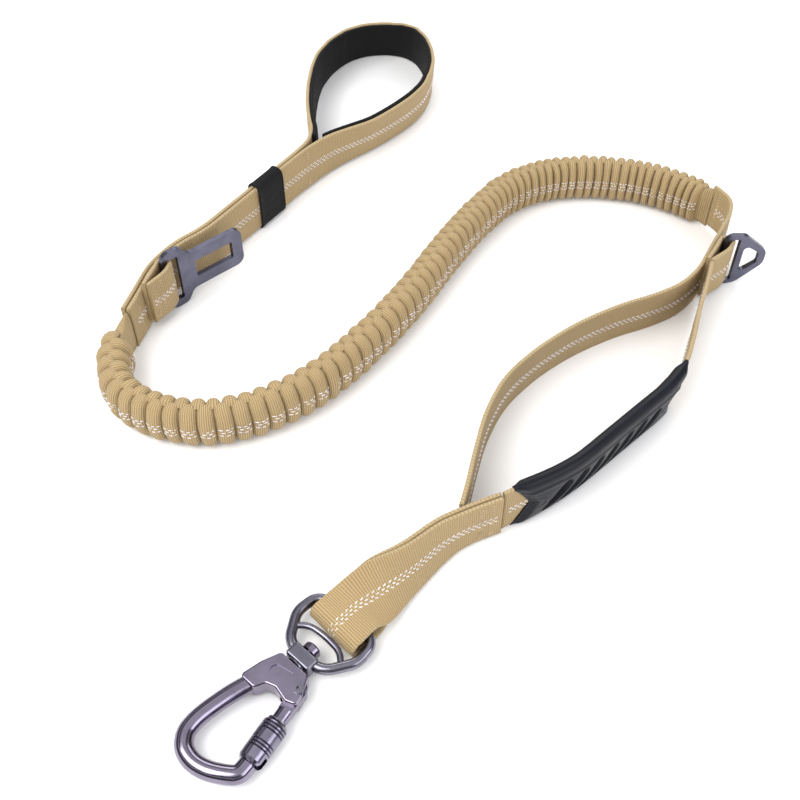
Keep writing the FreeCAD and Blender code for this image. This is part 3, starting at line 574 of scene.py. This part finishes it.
for i in (0, rings - 1):
    for j in range(ns):
        j2 = (j + 1) % ns
        o1 = rings * ns
        ids = (i * ns + j, i * ns + j2, o1 + i * ns + j2, o1 + i * ns + j)
        if i:
            ids = ids[::-1]
        b.face(ids, ((0, 0), (1, 0), (1, 1), (0, 1)))
b.make("keeper_band", [M_KEEPER], "keeper", ("keeper_sleeve",))


# --------------------------------------------------------------- strap tabs
def fold_points(bar, t, half, reach, tail_l, tail_r):
    n = (-t[1], t[0])
    a = (bar[0] + n[0] * half + t[0] * reach, bar[1] + n[1] * half + t[1] * reach)
    b_ = (bar[0] - n[0] * half + t[0] * reach, bar[1] - n[1] * half + t[1] * reach)
    c = (bar[0] + n[0] * half - t[0] * 4.5, bar[1] + n[1] * half - t[1] * 4.5)
    d = (bar[0] - n[0] * half - t[0] * 4.5, bar[1] - n[1] * half - t[1] * 4.5)
    return [tail_l, c, a, b_, d, tail_r]


tab = Route(fold_points((-111.2, 58.4), (0.2338, 0.9723), 3.1, 3.3, (-118.45, 44.7), (-116.41, 44.21)))
fr = frames_along(tab, 0, tab.length, 5.1, step=0.6, sway=0.0)
b = Builder()
b.band(fr)
stripe(b, fr, sides=(-1, 1), start=1, end=1)
zigzag(b, fr, tab.length - 4.2, tab.length - 1.8, -10.6, 10.6, T / 2, 1)
zigzag(b, fr, tab.length - 8.4, tab.length - 6.0, -10.6, 10.6, T / 2, 1)
b.make("tongue_strap", [M_WEB, M_THREAD, M_SEW], "handle", ("tongue_tab",))

# ------------------------------------------------------------------- bungee
BUNGEE = [(-125.5, 31), (-130, 12), (-124, -8), (-106, -20), (-84, -24), (-62, -18),
          (-41, -5), (-22, 15), (-7, 35), (8, 58), (22, 84), (37, 108), (55, 131),
          (78, 142.5), (104, 144.5), (129, 139.5), (147, 130), (160, 119)]
bun = Route(BUNGEE)
PLEATS = 68
S_A, S_B = 9.0, bun.length - 6.0
# pleats are wider near the handle end
edges = [0.0]
for i in range(PLEATS):
    f = i / (PLEATS - 1.0)
    edges.append(edges[-1] + 1.18 - 0.42 * smooth(0.15, 0.8, f) + 0.10 * noise.noise(Vector((i * 1.31, 7.7, 0))))
edges = [S_A + (S_B - S_A) * e / edges[-1] for e in edges]
LEN = bun.length


def lobe(u):
    q = abs(2 * u - 1)
    return math.sqrt(max(0.0, 1 - q ** 2.3))


def bun_surface(side, s, th, lift):
    """A point of the gathered tube; th from -pi/2 (bottom) to pi/2 (top)."""
    p, t = bun.at(s)
    n2 = Vector((-t.y, t.x, 0)) * side
    flat0, flat1 = 1 - smooth(-2, 12, s), smooth(LEN - 11, LEN + 1, s)
    flat = max(flat0, flat1)
    hw0 = 4.3 * (1 - flat) + 1.4 * flat
    hh0 = 9.0 * (1 - flat) + 12.0 * flat
    amp_w, amp_h = 3.6 * (1 - flat), 2.4 * (1 - flat)
    ct, st = math.cos(th), math.sin(th)
    x = (hw0 + amp_w * lift) * ct ** 0.62 if ct >= 0 else 0.75 * hw0 * ct
    z = (hh0 + amp_h * lift) * math.copysign(abs(st) ** 0.86, st)
    zc = 12.2 - 0.15 * flat
    # each side's face is set 0.05 mm out from the route
    return Vector((p.x, p.y, zc)) + n2 * (x + 0.05) + Vector((0, 0, z))


b = Builder()
NT = 18
TH = math.radians(118)
for side in (1, -1):
    rows = []
    dev = 0.0
    shift = 0.0 if side == -1 else 0.5
    ss = [-1.0 + 1.0 * i for i in range(int(S_A))]
    ss = [q for q in ss if q < S_A - 0.6]
    for i in range(PLEATS):
        e0, e1 = edges[i], edges[i + 1]
        for k in range(10):
            u = (1 - math.cos(math.pi * k / 10)) / 2
            ss.append((e0 + (e1 - e0) * u, u, i))
    ss = [(q, None, -1) if not isinstance(q, tuple) else q for q in ss]
    tail = S_B
    while tail < LEN + 0.8:
        ss.append((tail, None, -1))
        tail += 1.0
    half_pitch = 0.0
    base = len(b.v)
    last = None
    for s, u, idx in ss:
        off = 0.0
        if u is not None:
            pitch = edges[idx + 1] - edges[idx]
            off = shift * pitch
        sq = min(s + off, LEN + 0.8)
        lift = 0.0 if u is None else lobe(u)
        row_dev = dev
        ring = []
        for j in range(NT + 1):
            th = TH * (-1 + 2.0 * j / NT)
            l2 = lift
            if u is not None:
                l2 = lift * (1.0 + 0.16 * noise.noise(Vector((idx * 2.7, th * 1.3, side * 4.0))))
                sl = 0.55 * noise.noise(Vector((idx * 1.9, th * 0.9, side * 9.0)))
            else:
                sl = 0.0
            ring.append(bun_surface(side, sq + sl * (1 if u is not None else 0), th, l2))
        if last is not None:
            dev += (ring[NT // 2] - last[NT // 2]).length
        rows.append((ring, dev))
        last = ring
    for ring, d in rows:
        b.v += ring
    for i in range(len(rows) - 1):
        for j in range(NT):
            a0, a1 = base + i * (NT + 1) + j, base + i * (NT + 1) + j + 1
            c0, c1 = a0 + NT + 1, a1 + NT + 1
            u0, u1 = -16.0 + 32.0 * j / NT, -16.0 + 32.0 * (j + 1) / NT
            ids = (a0, a1, c1, c0) if side == 1 else (a0, c0, c1, a1)
            uvd = {a0: (u0, rows[i][1]), a1: (u1, rows[i][1]), c0: (u0, rows[i + 1][1]), c1: (u1, rows[i + 1][1])}
            b.face(ids, tuple(uvd[q] for q in ids), 0)
    # stitches over each lobe
    for i in range(PLEATS):
        e0, e1 = edges[i], edges[i + 1]
        pitch = e1 - e0
        off = shift * pitch
        for r, zz in enumerate((-0.06, 0.06, 0.18)):
            for ua, ub in ((0.10, 0.38), (0.46, 0.70), (0.76, 0.93)) if r != 1 else ((0.22, 0.50), (0.58, 0.84)):
                th = zz * (1 if True else 0)
                a = bun_surface(side, e0 + pitch * ua + off, th, lobe(ua))
                q = bun_surface(side, e0 + pitch * ub + off, th, lobe(ub))
                m = bun_surface(side, e0 + pitch * (ua + ub) / 2 + off, th, lobe((ua + ub) / 2))
                p_, t_ = bun.at(e0 + pitch * 0.5 + off)
                n_ = (Vector((-t_.y, t_.x, 0)) * side * 0.9 + Vector((0, 0, -0.35))).normalized()
                b.stitch(a + n_ * 0.1, q + n_ * 0.1, n_, half=0.27, high=0.34, mat=1)
bungee = b.make("bungee", [M_PLEAT, M_THREAD], None,
                ("bungee_cover", "elastic_core_lower", "elastic_core_upper"))
bpy.context.view_layer.update()
path = []
k = int(LEN / 4)
for i in range(k + 1):
    p, _ = bun.at(LEN * i / k)
    path.append((p.x * 0.001, p.y * 0.001, 0.0115))
bungee_path = path
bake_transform(bungee)

# ------------------------------------------------------- traffic handle side
MAIN = [(161.2, 117.6), (166.4, 110.0), (163.6, 99.5), (156.2, 86.5), (149.3, 74.5), (142.3, 62.3),
        (132.6, 53), (118, 45.5), (101.5, 39), (82, 28.5), (63, 13.5), (46, -5), (36.3, -27),
        (31, -48), (27.3, -64), (24.4, -74.6)]
DBAR = (156.8, 76.2)
d_dir = unit((142.3, 62.3), (156.2, 86.5))
TAB = fold_points(DBAR, d_dir, 3.1, 3.3, (146.34, 64.94), (148.16, 63.9))
GRIP = [(147.4, 62.2), (142.5, 47.5), (137, 34), (131.5, 19), (124.5, 3), (115, -9.5), (102.5, -21),
        (88.5, -34), (73.5, -48), (58, -60), (41.4, -70.0)]

main = Route(MAIN)


def main_low(s):
    return 0.4 + 1.2 * (1 - smooth(0, 14, s))


def main_lean(s, p):
    k = smooth(40, 90, s) * (1 - smooth(main.length - 110, main.length - 40, s))
    return Vector((0, -0.10 * k, 0))


fr = frames_along(main, -2.5, main.length, main_low, main_lean, sway=0.2, seed=4.4, width=24.6)
b = Builder()
b.band(fr, width=24.6)
stripe(b, fr, u0=-1.0, start=4, end=4)
zigzag(b, fr, 1.0, 3.2, -10.6, 10.6, T / 2, 1)
zigzag(b, fr, 1.0, 3.2, -10.6, 10.6, T / 2, -1)
s_j = Route(MAIN[:6]).length
zigzag(b, fr, s_j - 7.0, s_j - 4.6, -10.6, 10.6, T / 2, -1)
b.make("main_strap", [M_WEB, M_THREAD, M_SEW], "traffic_handle", ("main_webbing", "loop_bartack"))

tabr = Route(TAB)
fr = frames_along(tabr, -0.6, tabr.length + 1.0, 3.05, step=0.6, sway=0.0)
b = Builder()
b.band(fr)
stripe(b, fr, start=1, end=1)
b.make("ring_tab_strap", [M_WEB, M_THREAD], "traffic_handle", ("dring_tab",))

grip = Route(GRIP)
s_right = Route(GRIP[:6]).length


def grip_low(s):
    return 1.1 + 1.95 * (1 - smooth(0, 26, s))


def grip_lean(s, p):
    k = smooth(20, 70, s) * (1 - smooth(grip.length - 40, grip.length, s))
    return Vector((0.02 * k, -0.16 * k, 0))


fr = frames_along(grip, 0, grip.length, grip_low, grip_lean, sway=0.0)
b = Builder()
b.band(fr)
stripe(b, fr, u0=-0.6, start=3, end=2)
b.make("grip_strap", [M_WEB, M_THREAD], "traffic_handle", ("grip_webbing",))


# ---------------------------------------------------------------- the grip
g0, g1 = s_right - 9.0, grip.length - 4.5
GL = g1 - g0
windows = []
for i in range(7):
    f = (i + 0.5) / 7.0
    windows.append((17.5 + (GL - 35.0) * f, -1.6, 8.6 if 0 < i < 6 else 7.6, 3.1 + (0.6 if i in (0, 6) else 0.0)))


def grip_depth(x, z):
    """How far the outer face is sunk at a place along the grip."""
    best = 99.0
    for wx, wz, hl, hwid in windows:
        dz = z - wz
        # a leaf-shaped slot leaning with the grip, curved like a comma
        cx = wx - dz * 0.66 + 0.045 * dz * dz
        taper = hwid * math.sqrt(max(0.0, 1 - (dz / hl) ** 2)) if abs(dz) < hl else 0.0
        if taper > 0:
            best = min(best, abs(x - cx) - taper)
        else:
            best = min(best, math.hypot(x - cx, abs(dz) - hl))
    return smooth(0.28, -0.22, best)


def oval_ring(x, z):
    out = 0.0
    for ox, a_, c_ in ((10.5, 4.2, 3.0), (GL - 10.5, 4.2, 3.0)):
        d = math.hypot((x - ox - z * 0.25) / a_, z / c_)
        out = max(out, 1 - min(1.0, abs(d - 1.0) * a_ / 0.55))
    return out


b = Builder()
NX, NZ = 300, 46
HT, HH = 3.7, 13.6
rows = []
for i in range(NX + 1):
    f = i / NX
    ring = []
    # outer loop of the section: left face bottom to top, then right face down
    for side in (1, -1):
        for j in range(NZ + 1):
            q = j / NZ
            v = -1 + 2 * q if side == 1 else 1 - 2 * q
            z = HH * v
            notch0 = 8.0 * (1 - min(1.0, abs(v) / 0.86)) ** 0.8 if abs(v) < 0.86 else 0.0
            notch1 = 8.5 * (1 - min(1.0, abs(v + 0.05) / 0.86)) ** 0.8 if abs(v) < 0.86 else 0.0
            top_more = 5.0 * smooth(0.3, 1.0, v)
            x = (notch1 - top_more) + (GL - notch0 * 0.95 - notch1 + top_more) * f
            face = HT * (1 - abs(v) ** 5.0) ** 0.42
            endt = min(1.0, 0.45 + 0.55 * smooth(0, 0.05, f)) * min(1.0, 0.45 + 0.55 * smooth(0, 0.05, 1 - f))
            h = max(1.25 if abs(v) < 0.9 else 0.0, face * endt) if face > 0 else 0.0
            ridge = 0.32 * math.exp(-((v - 0.56) / 0.05) ** 2) - 0.25 * math.exp(-((v - 0.68) / 0.07) ** 2)
            h += ridge * endt if h > 1.3 else 0.0
            dep = 0.0
            if abs(v) < 0.80:
                dep = grip_depth(x, z)
                h += 0.30 * oval_ring(x, z + 1.0) * (1 - dep)
            h2 = h * (1 - dep) + 1.14 * dep
            ring.append((x, h2 * side, z, dep))
    rows.append(ring)
K = len(rows[0])
for ring in rows:
    for x, h, z, dep in ring:
        s = g0 + x
        p, t = grip.at(s)
        t3 = Vector((t.x, t.y, 0))
        lv = grip_lean(s, p)
        w = Vector((lv.x, lv.y, 1.0))
        w = (w - t3 * w.dot(t3)).normalized()
        n = w.cross(t3).normalized()
        b.v.append(Vector((p.x, p.y, 0.05)) + w * (HH + z) + n * h)
for i in range(NX):
    for j in range(K):
        j2 = (j + 1) % K
        a, c = i * K + j, i * K + j2
        d, e = (i + 1) * K + j2, (i + 1) * K + j
        deep = min(rows[i][j][3], rows[i][j2][3], rows[i + 1][j][3], rows[i + 1][j2][3]) > 0.985
        uvs = tuple((rows[q // K][q % K][2], rows[q // K][q % K][0]) for q in (a, c, d, e))
        b.face((a, c, d, e), uvs, 1 if deep else 0, True)
for i in (0, NX):
    half = K // 2
    for j in range(half - 1):
        a, c, d, e = i * K + j, i * K + j + 1, i * K + K - 2 - j, i * K + K - 1 - j
        ids = (a, e, d, c) if i == 0 else (a, c, d, e)
        b.face(ids, ((0, 0),) * 4, 0, False)
b.make("grip_cover", [M_RUBBER, M_WEB], "traffic_handle", ("rubber_grip",))

# ------------------------------------------------------------- clip strap
ax = (-0.680, -0.7332)
al = math.hypot(*ax)
ax = (ax[0] / al, ax[1] / al)
SW = at((-36.5, -131.6))


def clip_pt(x, y, z=5.6):
    return Vector((SW[0] + ax[0] * x - ax[1] * y, SW[1] + ax[1] * x + ax[0] * y, z))


# stations: middle (layout), its height, lean from flat, half the layers' gap
ST = [((40.6, -70.6), 13.0, 90, 1.15), ((36.4, -72.4), 13.0, 90, 1.15), ((31.2, -74.6), 12.9, 90, 1.15),
      ((26.3, -77.1), 12.9, 89, 1.15), ((21.9, -79.7), 12.9, 87, 1.15), ((17.8, -82.6), 12.8, 83, 1.15),
      ((13.8, -86.0), 12.8, 80, 1.15), ((9.7, -90.0), 12.7, 77, 1.15), ((5.7, -94.0), 12.6, 73, 1.15),
      ((1.6, -97.6), 12.4, 67, 1.15), ((-2.5, -100.8), 11.9, 57, 1.3), ((-6.6, -103.6), 10.6, 42, 1.6),
      ((-10.6, -106.4), 8.6, 25, 2.2), ((-14.3, -109.3), 6.6, 9, 3.0), ((-17.5, -112.3), 5.7, 0, 3.75)]
stn = []
for (p, z, lean, half) in ST:
    q = at(p)
    stn.append([q[0], q[1], z, lean, half])
fc = clip_pt(-18.9, 0.8)
stn.append([fc.x, fc.y, 5.9, 2.0, 3.9])
rowsx = []
for i in range(len(stn) - 1):
    p0_, p1_, p2_, p3_ = stn[max(i - 1, 0)], stn[i], stn[i + 1], stn[min(i + 2, len(stn) - 1)]
    for k in range(5):
        t = k / 5.0
        rowsx.append([0.5 * (2 * b_ + (c_ - a_) * t + (2 * a_ - 5 * b_ + 4 * c_ - d_) * t * t
                             + (3 * b_ - a_ - 3 * c_ + d_) * t ** 3) for a_, b_, c_, d_ in zip(p0_, p1_, p2_, p3_)])
rowsx.append(list(stn[-1]))
core = []
for i, r in enumerate(rowsx):
    a_, b_ = rowsx[max(i - 1, 0)], rowsx[min(i + 1, len(rowsx) - 1)]
    tx, ty = b_[0] - a_[0], b_[1] - a_[1]
    l2 = math.hypot(tx, ty)
    tx, ty = tx / l2, ty / l2
    if i > len(rowsx) - 12:
        f = (i - (len(rowsx) - 12)) / 11.0
        sx, sy = ax[0] * math.cos(-0.05) - ax[1] * math.sin(-0.05), ax[0] * math.sin(-0.05) + ax[1] * math.cos(-0.05)
        tx, ty = tx * (1 - f) + sx * f, ty * (1 - f) + sy * f
        l2 = math.hypot(tx, ty)
        tx, ty = tx / l2, ty / l2
    far = Vector((ty, -tx, 0))
    th = math.radians(r[3])
    w = far * math.cos(th) + Vector((0, 0, math.sin(th)))
    n = far * (-math.sin(th)) + Vector((0, 0, math.cos(th)))
    reach = (W / 2) * abs(w.z) + (r[4] + T / 2) * abs(n.z)
    core.append((Vector((r[0], r[1], max(r[2], reach + 0.15))), w, n, r[4], Vector((tx, ty, 0))))
sec = []
s = 0.0
for i, (c, w, n, half, t) in enumerate(core):
    p = c + n * half
    if sec:
        s += (p - sec[-1][0]).length
    sec.append((p, w, n, s))
fcn, fw, fn, fh, ft = core[-1]
for k in range(1, 12):
    ph = math.radians(90 - k * 15)
    nn = ft * math.cos(ph) + Vector((0, 0, math.sin(ph)))
    p = fcn + nn * fh
    s += (p - sec[-1][0]).length
    sec.append((p, fw, nn, s))
for c, w, n, half, t in core[::-1]:
    p = c - n * half
    s += (p - sec[-1][0]).length
    sec.append((p, w, -n, s))
b = Builder()
b.band(sec, width=W - 0.6)
stripe(b, sec, sides=(1,), u0=-0.2, start=2, end=2)
zigzag(b, sec, 3.0, 5.6, -10.4, 10.4, T / 2, 1)
zigzag(b, sec, 8.5, 11.1, -10.4, 10.4, T / 2, 1)
b.make("clip_strap", [M_WEB, M_THREAD, M_SEW], "traffic_handle", ("clip_webbing", "clip_bartack"))

# ------------------------------------------------------------------ hardware
LOOK = {"carabiner_body": M_BODY, "gate": M_BODY, "gate_pin": M_STUD, "sleeve_clip": M_STUD, "gate_spring": M_STUD,
        "lock_sleeve": M_SLEEVE, "swivel_ring": M_RING, "swivel_stud": M_BODY, "swivel_washer": M_RING,
        "d_ring": M_PLATE, "seatbelt_tongue": M_PLATE}
for name, mt in LOOK.items():
    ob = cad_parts[name]
    if not ob.material_slots:
        ob.data.materials.append(mt)
    for slot_ in ob.material_slots:
        slot_.material = mt

# -------------------------------------------------------------------- stage
me = bpy.data.meshes.new("floor")
me.from_pydata([(-6, -6, 0), (6, -6, 0), (6, 6, 0), (-6, 6, 0)], [], [(0, 1, 2, 3)])
floor = bpy.data.objects.new("floor", me)
floor.location = (0, 0, -0.0004)
bpy.context.scene.collection.objects.link(floor)
g = Graph("floor_pale")
pos = g.place()
g.link(g.mix(g.noise(pos, 3.0, 2.0), (0.90, 0.90, 0.91), (0.93, 0.93, 0.935)), g.bsdf.inputs["Base Color"])
g.set(Roughness=0.85, Specular_IOR_Level=0.2)
me.materials.append(g.mat)


def area(name, loc, aim, size, power, colour=(1, 1, 1)):
    li = bpy.data.lights.new(name, "AREA")
    li.shape = "RECTANGLE"
    li.size, li.size_y = size
    li.energy = power
    li.color = colour
    ob = bpy.data.objects.new(name, li)
    ob.location = loc
    ob.rotation_euler = (Vector(aim) - Vector(loc)).to_track_quat("-Z", "Y").to_euler()
    bpy.context.scene.collection.objects.link(ob)
    return ob


area("key", (-0.55, -0.35, 0.95), (0, 0, 0), (0.9, 0.7), 11.0, (1.0, 0.985, 0.96))
area("fill", (0.75, -0.55, 0.60), (0, 0, 0), (0.8, 0.6), 4.5, (0.95, 0.97, 1.0))
area("back", (0.1, 0.95, 0.70), (0, 0.05, 0), (1.2, 0.5), 5.0, (1.0, 1.0, 1.0))

world = bpy.data.worlds.new("studio")
bpy.context.scene.world = world
world.use_nodes = True
wn, wl = world.node_tree.nodes, world.node_tree.links
bg = wn["Background"]
bg.inputs[0].default_value = (1.0, 1.0, 1.0, 1.0)
bg.inputs[1].default_value = 0.95
tc = wn.new("ShaderNodeTexCoord")
sp = wn.new("ShaderNodeSeparateXYZ")
wl.new(tc.outputs["Generated"], sp.inputs[0])
rp = wn.new("ShaderNodeValToRGB")
rp.color_ramp.elements[0].position = 0.0
rp.color_ramp.elements[0].color = (0.55, 0.55, 0.57, 1)
rp.color_ramp.elements[1].position = 1.0
rp.color_ramp.elements[1].color = (1.0, 1.0, 1.0, 1)
for pos_, c_ in ((0.10, 0.04), (0.36, 0.05), (0.47, 1.15), (0.58, 0.10), (0.72, 0.05), (0.84, 1.10)):
    e = rp.color_ramp.elements.new(pos_)
    e.color = (c_, c_, c_ * 1.04, 1)
wl.new(sp.outputs[2], rp.inputs[0])
bg2 = wn.new("ShaderNodeBackground")
bg2.inputs[1].default_value = 1.0
wl.new(rp.outputs[0], bg2.inputs[0])
lp = wn.new("ShaderNodeLightPath")
mx = wn.new("ShaderNodeMixShader")
wl.new(lp.outputs["Is Glossy Ray"], mx.inputs[0])
wl.new(bg.outputs[0], mx.inputs[1])
wl.new(bg2.outputs[0], mx.inputs[2])
wl.new(mx.outputs[0], wn["World Output"].inputs[0])

bpy.context.scene.view_settings.view_transform = "Standard"
bpy.context.scene.view_settings.look = "None"
bpy.context.scene.view_settings.exposure = 0.0

cam_data = bpy.data.cameras.new("camera")
cam_data.sensor_width = 36.0
cam_data.lens = 1119.0 / 800.0 * 36.0
cam = bpy.data.objects.new("camera", cam_data)
cam.location = (-OX / 1000, (-327.18 - OY) / 1000, 0.38992)
cam.rotation_euler = (math.radians(40), 0, 0)
cam_data.clip_start = 0.01
bpy.context.scene.collection.objects.link(cam)
bpy.context.scene.camera = cam
